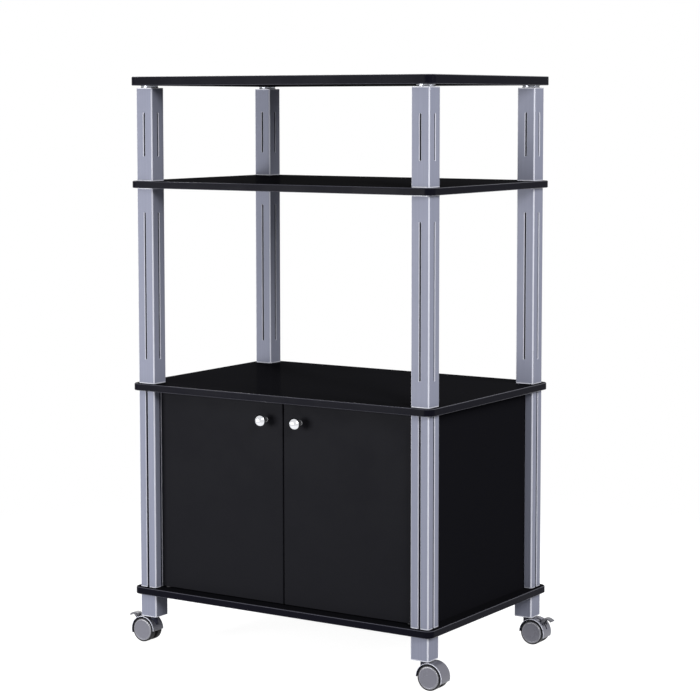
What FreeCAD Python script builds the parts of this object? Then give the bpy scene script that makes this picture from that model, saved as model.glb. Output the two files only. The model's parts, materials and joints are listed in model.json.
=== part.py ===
import FreeCAD, Part
import math
import os

# Microwave stand on casters: three open shelves over a two-door cabinet.
# Millimetres. +X runs to the right seen from the front, +Y to the back, +Z up.
# The origin lies on the floor, in the middle of the stand.

Vector = FreeCAD.Vector
UP = Vector(0, 0, 1)
TO_BACK = Vector(0, 1, 0)

# ---- Driving dimensions ----

# Boards
WIDTH = 600.0
DEPTH = 400.0
BOARD = 12.0
TOP_BOARD = 15.0
SHELF_CORNER_R = 14.0
EDGE_BAND = 1.5
ARRIS = 0.9

# Clear heights, from the floor up
CASTER_HEIGHT = 47.0
FOOT_LENGTH = 40.0
CABINET_BAY = 344.0
MIDDLE_BAY = 336.0
TOP_BAY = 162.0

# Posts: square moulded tubes
POST = 34.0
POST_INSET = 9.0
POST_WALL = 1.6
POST_CORNER_R = 3.5
SLOT_WIDTH = 2.6
SLOT_LIP = 1.0
SLOT_END_MARGIN = 41.0
GROOVE_WIDTH = 3.4
GROOVE_DEPTH = 6.0
GROOVE_LIP = 1.2
GROOVE_WALL = 1.5

# Joints between posts and boards
PLUG_LENGTH = 14.0
PLUG_CLEARANCE = 0.1
STUD_R = 4.0
STUD_GRIP = 12.0
BOARD_HOLE_CLEARANCE = 0.3
THREAD_CLEARANCE = 0.02
NECK_R = 15.0
NECK_HEIGHT = 4.0
NECK_SPIGOT = 12.0
INSERT_R = 6.5
INSERT_DEPTH = 12.0
INSERT_STUD_DEPTH = 11.0

# Panels in the grooves
PANEL = 3.0
PANEL_ENGAGEMENT = 5.4
PANEL_TOP_CLEARANCE = 1.0

# Doors
DOOR = 12.0
DOOR_SETBACK = 17.0
DOOR_POST_GAP = 2.0
DOOR_CENTRE_GAP = 2.0
DOOR_BOARD_GAP = 2.0
DOOR_EDGE_R = 1.5
HINGE_INSET = 10.0
HINGE_PIN_R = 2.5
HINGE_PIN_IN_BOARD = 10.0
HINGE_PIN_IN_BUSH = 7.5
BUSH_R = 4.0
BUSH_DEPTH = 9.0
BUSH_FLANGE_R = 5.4
RUNNING_CLEARANCE = 0.06
SLIDING_GAP = 0.3

# Knobs
KNOB_FROM_CENTRE = 34.5
KNOB_BELOW_TOP = 31.0
KNOB_FOOT_R = 4.6
KNOB_FOOT = 1.5
KNOB_STEM_R = 3.4
KNOB_HEAD_R = 10.3
KNOB_HEAD = 9.0
KNOB_CROWN_R = 12.0
KNOB_RIM_R = 2.0
KNOB_LENGTH = 25.0
KNOB_SCREW_R = 2.0
KNOB_SCREW_HEAD_R = 4.0
KNOB_SCREW_HEAD = 2.4
KNOB_SCREW_GRIP = 9.0

# Magnetic catches
CATCH_FROM_CENTRE = 20.0
CATCH_WIDTH = 26.0
CATCH_HEIGHT = 13.0
CATCH_LENGTH = 15.0
MAGNET_WIDTH = 20.0
MAGNET_HEIGHT = 6.0
MAGNET_LENGTH = 10.0
STRIKE = 1.0
STRIKE_WIDTH = 24.0
STRIKE_HEIGHT = 12.0

# Casters
WHEEL_R = 20.7
WHEEL_WIDTH = 11.0
WHEEL_TRAIL = 16.0
TREAD_CHAMFER = 0.8
DISC_R = 19.1
DISC_RIM = 1.3
DISC_DISH = 0.4
TREAD_STEP = 0.8
WHEEL_SIDE_GAP = 0.5
AXLE_R = 2.5
AXLE_CAP = 2.0
AXLE_END_GAP = 0.4
HOOD_WEB = 7.0
HOOD_WHEEL_GAP = 1.3
HOOD_WALL = 2.0
HOOD_HALF_WIDTH = 14.5
HOOD_SKIRT = 4.0
HOOD_SKIRT_TILT = 9.0
AXLE_BOSS_R = 8.0
STEM_R = 4.0
STEM_FLANGE_R = 6.5
STEM_FLANGE = 1.5
STEM_IN_SOCKET = 15.0
STEM_IN_BOSS = 8.5
SOCKET_LENGTH = 17.0
BOSS_R = 6.5
BOSS_FOOT = 30.0

# Brake levers, places measured from the wheel's centre
LEVER_PIVOT_OUT = 7.0
LEVER_PIVOT_UP = 12.0
LEVER_TRUNNION_R = 1.5
LEVER_HUB_R = 3.4
LEVER_STEM = 3.0
LEVER_WIDTH = 12.0
LEVER_THICKNESS = 2.2
LEVER_ROOT_OUT = 14.0
LEVER_ROOT_UP = 22.6
LEVER_CREST_OUT = 23.5
LEVER_CREST_UP = 26.6
LEVER_TIP_OUT = 34.8
LEVER_TIP_UP = 21.4
LEVER_SLOT_SIDE_GAP = 0.4
LEVER_POCKET_BACK = 6.0
LEVER_POCKET_DOWN = 5.5
BRAKE_LUG = 3.0
BRAKE_LUG_FROM_MIDDLE = 4.6
BRAKE_LUG_ANGLE = 48.0
BRAKE_LUG_LENGTH = 4.0
BRAKE_LUG_GAP = 1.2
BRAKE_WINDOW_GAP = 0.5
BRAKE_WINDOW_LENGTH = 10.0

# ---- Levels and places worked out from them ----

CABINET_FLOOR_UNDER = CASTER_HEIGHT + FOOT_LENGTH
CABINET_FLOOR_TOP = CABINET_FLOOR_UNDER + BOARD
CABINET_TOP_UNDER = CABINET_FLOOR_TOP + CABINET_BAY
CABINET_TOP_TOP = CABINET_TOP_UNDER + BOARD
UPPER_SHELF_UNDER = CABINET_TOP_TOP + MIDDLE_BAY
UPPER_SHELF_TOP = UPPER_SHELF_UNDER + BOARD
TOP_SHELF_UNDER = UPPER_SHELF_TOP + TOP_BAY

HALF_POST = POST / 2
POST_X = WIDTH / 2 - POST_INSET - HALF_POST
POST_Y = DEPTH / 2 - POST_INSET - HALF_POST
CORNERS = {
    "front_left": (-POST_X, -POST_Y),
    "front_right": (POST_X, -POST_Y),
    "rear_left": (-POST_X, POST_Y),
    "rear_right": (POST_X, POST_Y),
}
SIDES = {"left": -1, "right": 1}

PLUG_SIDE = POST - 2 * POST_WALL - 2 * PLUG_CLEARANCE

DOOR_FRONT = -POST_Y - HALF_POST + DOOR_SETBACK
DOOR_MIDDLE = DOOR_FRONT + DOOR / 2
DOOR_BACK = DOOR_FRONT + DOOR
DOOR_OUTER_EDGE = POST_X - HALF_POST - DOOR_POST_GAP
HINGE_X = DOOR_OUTER_EDGE - HINGE_INSET
DOOR_BOTTOM = CABINET_FLOOR_TOP + DOOR_BOARD_GAP
DOOR_TOP = CABINET_TOP_UNDER - DOOR_BOARD_GAP
KNOB_HEIGHT = DOOR_TOP - KNOB_BELOW_TOP

BRAKED_CASTERS = ("front_left", "rear_right")


# ---- Shared shapes ----

def rounded_rectangle(width, depth, radius):
    """Flat face on the XY plane, centred on the origin, with round corners."""
    x = width / 2 - radius
    y = depth / 2 - radius
    centres = [(x, y, 0), (-x, y, 90), (-x, -y, 180), (x, -y, 270)]
    arcs = [
        Part.makeCircle(radius, Vector(cx, cy, 0), UP, start, start + 90)
        for cx, cy, start in centres
    ]
    edges = []
    for arc, following in zip(arcs, arcs[1:] + arcs[:1]):
        edges.append(arc)
        edges.append(Part.makeLine(arc.Vertexes[-1].Point, following.Vertexes[0].Point))
    return Part.Face(Part.Wire(edges))


def slab(width, depth, height, radius, bottom=0.0):
    """Upright block with round vertical corners."""
    face = rounded_rectangle(width, depth, radius)
    return face.translated(Vector(0, 0, bottom)).extrude(Vector(0, 0, height))


def block(x_range, y_range, z_range):
    """Plain block between two corners."""
    size = [high - low for low, high in (x_range, y_range, z_range)]
    corner = Vector(x_range[0], y_range[0], z_range[0])
    return Part.makeBox(size[0], size[1], size[2], corner)


def rod(radius, bottom, top, x=0.0, y=0.0):
    """Upright cylinder."""
    return Part.makeCylinder(radius, top - bottom, Vector(x, y, bottom), UP)


def cross_rod(radius, x, z, y_low, y_high):
    """Cylinder that runs from front to back."""
    return Part.makeCylinder(radius, y_high - y_low, Vector(x, y_low, z), TO_BACK)


def turned(shape, angle):
    """Copy turned about the vertical axis through the origin."""
    return shape.rotated(Vector(0, 0, 0), UP, angle)


def on_four_sides(shape):
    """The shape repeated on the four sides of a square post."""
    return [turned(shape, quarter * 90) for quarter in range(4)]


def at_corners(shape, bottom=0.0):
    """Copies of the shape at the four posts."""
    return [shape.translated(Vector(x, y, bottom)) for x, y in CORNERS.values()]


def save(name, *shapes):
    """Writes one node: a single solid, or a group of separate ones."""
    shape = shapes[0] if len(shapes) == 1 else Part.makeCompound(list(shapes))
    shape.exportStep("parts/" + name + ".step")


# ---- Boards ----

def board_blank(bottom, thickness):
    """Core of a board, inside its edging."""
    return slab(
        WIDTH - 2 * EDGE_BAND,
        DEPTH - 2 * EDGE_BAND,
        thickness,
        SHELF_CORNER_R - EDGE_BAND,
        bottom,
    )


def edge_band(bottom, thickness):
    """Plastic edging round a board, with both arrises eased."""
    outer = slab(WIDTH, DEPTH, thickness, SHELF_CORNER_R, bottom)
    arrises = [edge for edge in outer.Edges if edge.BoundBox.ZLength < thickness / 2]
    return outer.makeChamfer(ARRIS, arrises).cut(board_blank(bottom, thickness))


def bored_board(bottom):
    """Board with a clearance hole for the joining stud at each post."""
    hole = rod(STUD_R + BOARD_HOLE_CLEARANCE, bottom - 1, bottom + BOARD + 1)
    return board_blank(bottom, BOARD).cut(at_corners(hole))


def hinge_pin_holes(bottom, top):
    """Holes for the two door pins in a board."""
    return [rod(HINGE_PIN_R, bottom, top, side * HINGE_X, DOOR_MIDDLE) for side in SIDES.values()]


def make_boards():
    inserts = at_corners(rod(INSERT_R, TOP_SHELF_UNDER, TOP_SHELF_UNDER + INSERT_DEPTH))
    save("top_shelf", board_blank(TOP_SHELF_UNDER, TOP_BOARD).cut(inserts))
    save("upper_shelf", bored_board(UPPER_SHELF_UNDER))
    pins_in_top = hinge_pin_holes(CABINET_TOP_UNDER, CABINET_TOP_UNDER + HINGE_PIN_IN_BOARD)
    save("cabinet_top", bored_board(CABINET_TOP_UNDER).cut(pins_in_top))
    pins_in_floor = hinge_pin_holes(CABINET_FLOOR_TOP - HINGE_PIN_IN_BOARD, CABINET_FLOOR_TOP)
    save("cabinet_floor", bored_board(CABINET_FLOOR_UNDER).cut(pins_in_floor))
    undersides = (CABINET_FLOOR_UNDER, CABINET_TOP_UNDER, UPPER_SHELF_UNDER)
    bands = [edge_band(bottom, BOARD) for bottom in undersides]
    save("shelf_edge_bands", *bands, edge_band(TOP_SHELF_UNDER, TOP_BOARD))


# ---- Posts ----

def plain_tube(length):
    """Square tube with round outer corners, standing on the XY plane."""
    inside = (POST_WALL - HALF_POST, HALF_POST - POST_WALL)
    return slab(POST, POST, length, POST_CORNER_R).cut(block(inside, inside, (0, length)))


def lipped_half_profile(width, lip, depth):
    """Right half of a slot's section on the front side, its lip bevelled."""
    surface = -HALF_POST
    side = width / 2
    outline = [
        (0, surface - 1),
        (side + lip + 1, surface - 1),
        (side, surface + lip),
        (side, surface + depth),
        (0, surface + depth),
        (0, surface - 1),
    ]
    return Part.Face(Part.makePolygon([Vector(x, y, 0) for x, y in outline]))


def lipped_groove(width, lip, depth, bottom, top):
    """Straight groove cutter on the front side of a post."""
    right = lipped_half_profile(width, lip, depth).translated(Vector(0, 0, bottom))
    right_half = right.extrude(Vector(0, 0, top - bottom))
    left_half = right_half.mirror(Vector(0, 0, 0), Vector(1, 0, 0))
    return [right_half, left_half]


def lipped_slot(width, lip, depth, bottom, top):
    """Slot cutter with round, lipped ends on the front side of a post."""
    end_reach = width / 2 + lip
    low = bottom + end_reach
    high = top - end_reach
    half = lipped_half_profile(width, lip, depth)
    low_end = half.revolve(Vector(0, 0, 0), TO_BACK, 180).translated(Vector(0, 0, low))
    high_end = half.revolve(Vector(0, 0, 0), TO_BACK, -180).translated(Vector(0, 0, high))
    return lipped_groove(width, lip, depth, low, high) + [low_end, high_end]


def slotted_tube(length):
    """Tube with one long narrow slot in the middle of each side."""
    depth = POST_WALL + 1
    slot = lipped_slot(SLOT_WIDTH, SLOT_LIP, depth, SLOT_END_MARGIN, length - SLOT_END_MARGIN)
    cutters = [copy for piece in slot for copy in on_four_sides(piece)]
    return plain_tube(length).cut(cutters)


def grooved_tube(length):
    """Tube with a panel groove down the middle of each side, walled inside."""
    channel_half = GROOVE_WIDTH / 2 + GROOVE_WALL
    channel = block(
        (-channel_half, channel_half),
        (-HALF_POST + POST_WALL / 2, -HALF_POST + GROOVE_DEPTH + GROOVE_WALL),
        (0, length),
    )
    groove = lipped_groove(GROOVE_WIDTH, GROOVE_LIP, GROOVE_DEPTH, -1, length + 1)
    cutters = [copy for piece in groove for copy in on_four_sides(piece)]
    walled = plain_tube(length).fuse(on_four_sides(channel)).removeSplitter()
    return walled.cut(cutters).removeSplitter()


def make_posts():
    tiers = (
        ("upper_post", slotted_tube(TOP_BAY - NECK_HEIGHT), UPPER_SHELF_TOP),
        ("middle_post", slotted_tube(MIDDLE_BAY), CABINET_TOP_TOP),
        ("cabinet_post", grooved_tube(CABINET_BAY), CABINET_FLOOR_TOP),
        ("foot_post", plain_tube(FOOT_LENGTH), CASTER_HEIGHT),
    )
    for tier, tube, bottom in tiers:
        for corner, (x, y) in CORNERS.items():
            save(tier + "_" + corner, tube.translated(Vector(x, y, bottom)))


# ---- What joins posts and boards ----

def plug_blank(length):
    """Block that fits a plain or slotted tube."""
    inside = (-PLUG_SIDE / 2, PLUG_SIDE / 2)
    return block(inside, inside, (0, length))


def notched_plug_blank(length):
    """Block that fits a grooved tube: its notches clear the groove channels."""
    notch_half = GROOVE_WIDTH / 2 + GROOVE_WALL + PLUG_CLEARANCE
    notch = block(
        (-notch_half, notch_half),
        (-HALF_POST, -HALF_POST + GROOVE_DEPTH + GROOVE_WALL + PLUG_CLEARANCE),
        (-1, length + 1),
    )
    return plug_blank(length).cut(on_four_sides(notch))


def make_joints():
    tapped_hole = rod(STUD_R + THREAD_CLEARANCE, -1, PLUG_LENGTH + 1)
    plug = plug_blank(PLUG_LENGTH).cut(tapped_hole)
    cabinet_plug = notched_plug_blank(PLUG_LENGTH).cut(tapped_hole)
    plugs = (
        (plug, CABINET_FLOOR_UNDER - PLUG_LENGTH),
        (cabinet_plug, CABINET_FLOOR_TOP),
        (cabinet_plug, CABINET_TOP_UNDER - PLUG_LENGTH),
        (plug, CABINET_TOP_TOP),
        (plug, UPPER_SHELF_UNDER - PLUG_LENGTH),
        (plug, UPPER_SHELF_TOP),
    )
    save("post_end_plugs", *[copy for shape, z in plugs for copy in at_corners(shape, z)])

    neck_bottom = TOP_SHELF_UNDER - NECK_HEIGHT
    collar = plug_blank(NECK_SPIGOT).translated(Vector(0, 0, neck_bottom - NECK_SPIGOT))
    collar = collar.fuse(rod(NECK_R, neck_bottom, TOP_SHELF_UNDER))
    collar = collar.cut(
        rod(STUD_R + THREAD_CLEARANCE, neck_bottom - NECK_SPIGOT - 1, TOP_SHELF_UNDER + 1)
    )
    save("top_post_collars", *at_corners(collar))

    insert = rod(INSERT_R, TOP_SHELF_UNDER, TOP_SHELF_UNDER + INSERT_DEPTH)
    bore_top = TOP_SHELF_UNDER + INSERT_STUD_DEPTH + THREAD_CLEARANCE
    insert = insert.cut(rod(STUD_R + THREAD_CLEARANCE, TOP_SHELF_UNDER - 1, bore_top))
    save("top_shelf_inserts", *at_corners(insert))

    stud = rod(STUD_R, 0, BOARD + 2 * STUD_GRIP)
    boards = (CABINET_FLOOR_UNDER, CABINET_TOP_UNDER, UPPER_SHELF_UNDER)
    stud_bottoms = [under - STUD_GRIP for under in boards]
    stud_bottoms.append(TOP_SHELF_UNDER + INSERT_STUD_DEPTH - BOARD - 2 * STUD_GRIP)
    save("joining_studs", *[copy for z in stud_bottoms for copy in at_corners(stud, z)])


# ---- Cabinet panels ----

def make_panels():
    span_y = POST_Y - HALF_POST + PANEL_ENGAGEMENT
    span_x = POST_X - HALF_POST + PANEL_ENGAGEMENT
    height = (CABINET_FLOOR_TOP, CABINET_TOP_UNDER - PANEL_TOP_CLEARANCE)
    for name, side in SIDES.items():
        middle = side * POST_X
        panel = block((middle - PANEL / 2, middle + PANEL / 2), (-span_y, span_y), height)
        save(name + "_side_panel", panel)
    back = block((-span_x, span_x), (POST_Y - PANEL / 2, POST_Y + PANEL / 2), height)
    save("back_panel", back)


# ---- Doors, built for the right-hand side and mirrored for the left ----

def door_leaf():
    """Slab door with eased edges, bored for its bushes and the knob screw."""
    inner_edge = DOOR_CENTRE_GAP / 2
    leaf = block((inner_edge, DOOR_OUTER_EDGE), (DOOR_FRONT, DOOR_BACK), (DOOR_BOTTOM, DOOR_TOP))
    uprights = [edge for edge in leaf.Edges if edge.BoundBox.ZLength > DOOR]
    leaf = leaf.makeFillet(DOOR_EDGE_R, uprights)
    bush_bore_r = BUSH_R + THREAD_CLEARANCE
    cutters = [
        rod(bush_bore_r, DOOR_BOTTOM - 1, DOOR_BOTTOM + BUSH_DEPTH, HINGE_X, DOOR_MIDDLE),
        rod(bush_bore_r, DOOR_TOP - BUSH_DEPTH, DOOR_TOP + 1, HINGE_X, DOOR_MIDDLE),
        cross_rod(
            KNOB_SCREW_R + THREAD_CLEARANCE,
            KNOB_FROM_CENTRE,
            KNOB_HEIGHT,
            DOOR_FRONT - 1,
            DOOR_BACK + 1,
        ),
    ]
    return leaf.cut(cutters)


def hinge_bush(mouth, direction):
    """Flanged bush in the door's edge; direction is +1 where it runs up into the door."""
    flange = DOOR_BOARD_GAP - SLIDING_GAP
    axis = Vector(0, 0, direction)
    sleeve = Part.makeCylinder(BUSH_R, BUSH_DEPTH, Vector(HINGE_X, DOOR_MIDDLE, mouth), axis)
    rim_start = Vector(HINGE_X, DOOR_MIDDLE, mouth - direction * flange)
    rim = Part.makeCylinder(BUSH_FLANGE_R, flange, rim_start, axis)
    bore_r = HINGE_PIN_R + RUNNING_CLEARANCE
    bore_length = flange + HINGE_PIN_IN_BUSH + SLIDING_GAP
    return sleeve.fuse(rim).cut(Part.makeCylinder(bore_r, bore_length, rim_start, axis))


def section_arc(x, y, radius, start, finish):
    """Arc of a turned piece's half section, between two angles in radians."""
    return Part.ArcOfCircle(Part.Circle(Vector(x, y, 0), UP, radius), start, finish).toShape()


def knob_face():
    """Half section of the mushroom knob: X is its radius, Y runs out from the door."""
    head_start = KNOB_LENGTH - KNOB_HEAD
    bore_r = KNOB_SCREW_R + THREAD_CLEARANCE
    bore_end = KNOB_SCREW_GRIP + SLIDING_GAP
    crown_y = KNOB_LENGTH - KNOB_CROWN_R
    rim_x = KNOB_HEAD_R - KNOB_RIM_R
    rim_y = crown_y + math.sqrt((KNOB_CROWN_R - KNOB_RIM_R) ** 2 - rim_x ** 2)
    meeting = math.atan2(rim_y - crown_y, rim_x)
    rim = section_arc(rim_x, rim_y, KNOB_RIM_R, -math.pi / 2, meeting)
    crown = section_arc(0, crown_y, KNOB_CROWN_R, meeting, math.pi / 2)
    sides = Part.makePolygon([
        Vector(0, KNOB_LENGTH, 0),
        Vector(0, bore_end, 0),
        Vector(bore_r, bore_end, 0),
        Vector(bore_r, 0, 0),
        Vector(KNOB_FOOT_R, 0, 0),
        Vector(KNOB_FOOT_R, KNOB_FOOT, 0),
        Vector(KNOB_STEM_R, KNOB_FOOT + KNOB_FOOT_R - KNOB_STEM_R, 0),
        Vector(KNOB_STEM_R, head_start, 0),
        Vector(rim_x, rim_y - KNOB_RIM_R, 0),
    ])
    return Part.Face(Part.Wire([rim, crown] + sides.Edges))


def knob():
    """Turned knob on the door's front face, tapped for its screw."""
    turned_knob = knob_face().revolve(Vector(0, 0, 0), TO_BACK, 360)
    turned_knob.rotate(Vector(0, 0, 0), UP, 180)
    return turned_knob.translated(Vector(KNOB_FROM_CENTRE, DOOR_FRONT, KNOB_HEIGHT))


def knob_screw():
    """Pan-head screw through the door into the knob."""
    shank = cross_rod(
        KNOB_SCREW_R, KNOB_FROM_CENTRE, KNOB_HEIGHT, DOOR_FRONT - KNOB_SCREW_GRIP, DOOR_BACK
    )
    head = cross_rod(
        KNOB_SCREW_HEAD_R,
        KNOB_FROM_CENTRE,
        KNOB_HEIGHT,
        DOOR_BACK,
        DOOR_BACK + KNOB_SCREW_HEAD,
    )
    rim = [edge for edge in head.Edges if edge.BoundBox.YMin > DOOR_BACK + KNOB_SCREW_HEAD / 2]
    return shank.fuse(head.makeChamfer(KNOB_SCREW_HEAD * 0.4, rim))


def strike_plate():
    """Steel plate on the door's back that the magnet holds."""
    half = STRIKE_WIDTH / 2
    return block(
        (CATCH_FROM_CENTRE - half, CATCH_FROM_CENTRE + half),
        (DOOR_BACK, DOOR_BACK + STRIKE),
        (DOOR_TOP - STRIKE_HEIGHT, DOOR_TOP),
    )


def magnetic_catch():
    """Housing under the cabinet's top board, and the magnet in its front."""
    front = DOOR_BACK + STRIKE + SLIDING_GAP
    low = CABINET_TOP_UNDER - CATCH_HEIGHT
    half = CATCH_WIDTH / 2
    housing = block(
        (CATCH_FROM_CENTRE - half, CATCH_FROM_CENTRE + half),
        (front, front + CATCH_LENGTH),
        (low, CABINET_TOP_UNDER),
    )
    magnet_low = low + (CATCH_HEIGHT - MAGNET_HEIGHT) / 2
    magnet = block(
        (CATCH_FROM_CENTRE - MAGNET_WIDTH / 2, CATCH_FROM_CENTRE + MAGNET_WIDTH / 2),
        (front, front + MAGNET_LENGTH),
        (magnet_low, magnet_low + MAGNET_HEIGHT),
    )
    return [housing.cut(magnet), magnet]


def make_doors():
    bushes = [hinge_bush(DOOR_BOTTOM, 1), hinge_bush(DOOR_TOP, -1)]
    pieces = {
        "door": [door_leaf()],
        "knob": [knob()],
        "knob_screw": [knob_screw()],
        "hinge_bushes": bushes,
        "strike_plate": [strike_plate()],
    }
    for name, side in SIDES.items():
        for piece, shapes in pieces.items():
            if side < 0:
                shapes = [shape.mirror(Vector(0, 0, 0), Vector(1, 0, 0)) for shape in shapes]
            save(name + "_" + piece, *shapes)

    spans = (
        (CABINET_FLOOR_TOP - HINGE_PIN_IN_BOARD, DOOR_BOTTOM + HINGE_PIN_IN_BUSH),
        (DOOR_TOP - HINGE_PIN_IN_BUSH, CABINET_TOP_UNDER + HINGE_PIN_IN_BOARD),
    )
    pins = [
        rod(HINGE_PIN_R, low, high, side * HINGE_X, DOOR_MIDDLE)
        for low, high in spans
        for side in SIDES.values()
    ]
    save("door_hinge_pins", *pins)

    right_catch = magnetic_catch()
    left_catch = [shape.mirror(Vector(0, 0, 0), Vector(1, 0, 0)) for shape in right_catch]
    save("magnetic_catches", *(right_catch + left_catch))


# ---- Casters, built trailing to +X with the stem on the Z axis ----

HOOD_INNER_R = WHEEL_R + HOOD_WHEEL_GAP
HOOD_OUTER_R = HOOD_INNER_R + HOOD_WALL
WHEEL_INNER_FACE = HOOD_WEB / 2 + WHEEL_SIDE_GAP
WHEEL_OUTER_FACE = WHEEL_INNER_FACE + WHEEL_WIDTH
AXLE_HALF_LENGTH = WHEEL_OUTER_FACE - AXLE_CAP - AXLE_END_GAP
BOSS_TOP = CASTER_HEIGHT - STEM_FLANGE - SLIDING_GAP
STEM_LOW = BOSS_TOP - STEM_IN_BOSS
PIVOT_X = WHEEL_TRAIL + LEVER_PIVOT_OUT
PIVOT_Z = WHEEL_R + LEVER_PIVOT_UP


def wheel():
    """Rear wheel of a pair: rim, tread ring and dished disc, on a blind bore."""
    inner = WHEEL_INNER_FACE
    outer = WHEEL_OUTER_FACE
    bore_r = AXLE_R + RUNNING_CLEARANCE
    bore_end = outer - AXLE_CAP
    tread_face = outer - TREAD_STEP
    section = [
        (0, bore_end),
        (bore_r, bore_end),
        (bore_r, inner),
        (WHEEL_R - TREAD_CHAMFER, inner),
        (WHEEL_R, inner + TREAD_CHAMFER),
        (WHEEL_R, tread_face - TREAD_CHAMFER),
        (WHEEL_R - TREAD_CHAMFER, tread_face),
        (DISC_R + DISC_DISH, tread_face),
        (DISC_R, outer),
        (DISC_R - DISC_RIM, outer),
        (DISC_R - DISC_RIM - DISC_DISH, outer - DISC_DISH),
        (0, outer - DISC_DISH),
        (0, bore_end),
    ]
    outline = Part.makePolygon([Vector(radius, y, 0) for radius, y in section])
    solid = Part.Face(outline).revolve(Vector(0, 0, 0), TO_BACK, 360)
    return solid.translated(Vector(WHEEL_TRAIL, 0, WHEEL_R))


def wheel_band(radius, y_low, y_high):
    """Cylinder round the wheels' axis."""
    return cross_rod(radius, WHEEL_TRAIL, WHEEL_R, y_low, y_high)


def hood():
    """Housing over both wheels: shell, middle web with axle boss, and stem boss."""
    half = HOOD_HALF_WIDTH
    web_half = HOOD_WEB / 2
    shell = wheel_band(HOOD_OUTER_R, -half, half)
    reach = 2 * HOOD_OUTER_R
    below = block(
        (WHEEL_TRAIL - reach, WHEEL_TRAIL + reach), (-reach, reach), (-reach, WHEEL_R - HOOD_SKIRT)
    )
    below.rotate(Vector(WHEEL_TRAIL, 0, WHEEL_R), TO_BACK, HOOD_SKIRT_TILT)
    shell = shell.cut(below)
    shell = shell.fuse([
        wheel_band(AXLE_BOSS_R, -web_half, web_half),
        rod(BOSS_R, BOSS_FOOT, BOSS_TOP),
    ])
    chambers = [
        wheel_band(HOOD_INNER_R, web_half, half + BOSS_R),
        wheel_band(HOOD_INNER_R, -half - BOSS_R, -web_half),
    ]
    bores = [
        rod(STEM_R + RUNNING_CLEARANCE, STEM_LOW - SLIDING_GAP, BOSS_TOP + 1),
        wheel_band(AXLE_R + THREAD_CLEARANCE, -half, half),
    ]
    return shell.cut(chambers + bores).removeSplitter()


def lug_frame(shape):
    """Turns a shape drawn along +X from the wheel's centre to the brake lug's angle."""
    centre = Vector(WHEEL_TRAIL, 0, WHEEL_R)
    placed = shape.translated(centre)
    placed.rotate(centre, TO_BACK, -BRAKE_LUG_ANGLE)
    return placed


def brake_cuts():
    """Pocket and windows that a braked hood has for its lever."""
    slot_half = LEVER_STEM / 2 + LEVER_SLOT_SIDE_GAP
    pocket = block(
        (PIVOT_X - LEVER_POCKET_BACK, WHEEL_TRAIL + HOOD_OUTER_R),
        (-slot_half, slot_half),
        (PIVOT_Z - LEVER_POCKET_DOWN, WHEEL_R + HOOD_OUTER_R + 1),
    )
    trunnion_reach = HOOD_WEB / 2 + 1
    bearing = cross_rod(
        LEVER_TRUNNION_R + RUNNING_CLEARANCE, PIVOT_X, PIVOT_Z, -trunnion_reach, trunnion_reach
    )
    low = BRAKE_LUG_FROM_MIDDLE - BRAKE_WINDOW_GAP
    high = BRAKE_LUG_FROM_MIDDLE + BRAKE_LUG + BRAKE_WINDOW_GAP
    radial = (HOOD_INNER_R - 1, HOOD_OUTER_R + 2)
    along = (-BRAKE_WINDOW_LENGTH / 2, BRAKE_WINDOW_LENGTH / 2)
    windows = [
        lug_frame(block(radial, y_range, along)) for y_range in ((low, high), (-high, -low))
    ]
    return [pocket, bearing] + windows


def lever_arch():
    """Arched foot pad of the lever."""
    def point(out, up):
        return Vector(WHEEL_TRAIL + out, -LEVER_WIDTH / 2, WHEEL_R + up)

    drop = LEVER_THICKNESS
    top = Part.Arc(
        point(LEVER_ROOT_OUT, LEVER_ROOT_UP),
        point(LEVER_CREST_OUT, LEVER_CREST_UP),
        point(LEVER_TIP_OUT, LEVER_TIP_UP),
    ).toShape()
    under = Part.Arc(
        point(LEVER_TIP_OUT - drop, LEVER_TIP_UP - drop / 2),
        point(LEVER_CREST_OUT, LEVER_CREST_UP - drop),
        point(LEVER_ROOT_OUT, LEVER_ROOT_UP - drop),
    ).toShape()
    tip = Part.makeLine(top.Vertexes[-1].Point, under.Vertexes[0].Point)
    root = Part.makeLine(under.Vertexes[-1].Point, top.Vertexes[0].Point)
    face = Part.Face(Part.Wire([top, tip, under, root]))
    return face.extrude(Vector(0, LEVER_WIDTH, 0))


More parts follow.
